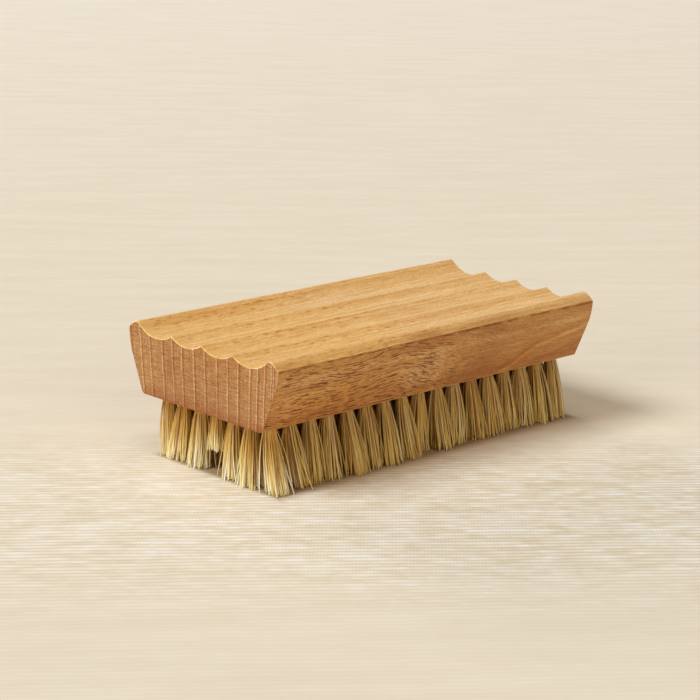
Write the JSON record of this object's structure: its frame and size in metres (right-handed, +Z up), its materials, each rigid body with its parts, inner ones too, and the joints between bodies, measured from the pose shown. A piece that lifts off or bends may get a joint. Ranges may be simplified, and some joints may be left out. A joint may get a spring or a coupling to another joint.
{
  "type": "nail brush",
  "caption": "One-sided wooden nail brush: a fluted one-piece block with wire-anchored bristle tufts, for scrubbing fingernails and hands.",
  "frame": {"origin": "under the middle of the block, in the plane of the bristle tips that the brush stands on", "axes": "+X along the flutes, away from the end with the short tuft; +Y across the flutes; +Z up, out of the fluted top"},
  "size_m": [0.095, 0.046, 0.0285],
  "materials": {
    "beech": "oiled, satin",
    "bristle": "natural fibre, satin",
    "anchor_wire": "drawn wire"
  },
  "bodies": {
    "root": {"block": "beech", "tuft_column_01": "bristle", "tuft_column_02": "bristle", "tuft_column_03": "bristle", "tuft_column_04": "bristle", "tuft_column_05": "bristle", "tuft_column_06": "bristle", "tuft_column_07": "bristle", "tuft_column_08": "bristle", "tuft_column_09": "bristle", "tuft_column_10": "bristle", "tuft_column_11": "bristle", "tuft_column_12": "bristle", "tuft_column_13": "bristle", "tuft_column_14": "bristle", "tuft_column_15": "bristle", "tuft_column_16": "bristle", "tuft_column_17": "bristle", "anchor_column_01": "anchor_wire", "anchor_column_02": "anchor_wire", "anchor_column_03": "anchor_wire", "anchor_column_04": "anchor_wire", "anchor_column_05": "anchor_wire", "anchor_column_06": "anchor_wire", "anchor_column_07": "anchor_wire", "anchor_column_08": "anchor_wire", "anchor_column_09": "anchor_wire", "anchor_column_10": "anchor_wire", "anchor_column_11": "anchor_wire", "anchor_column_12": "anchor_wire", "anchor_column_13": "anchor_wire", "anchor_column_14": "anchor_wire", "anchor_column_15": "anchor_wire", "anchor_column_16": "anchor_wire", "anchor_column_17": "anchor_wire"}
  },
  "joints": []
}
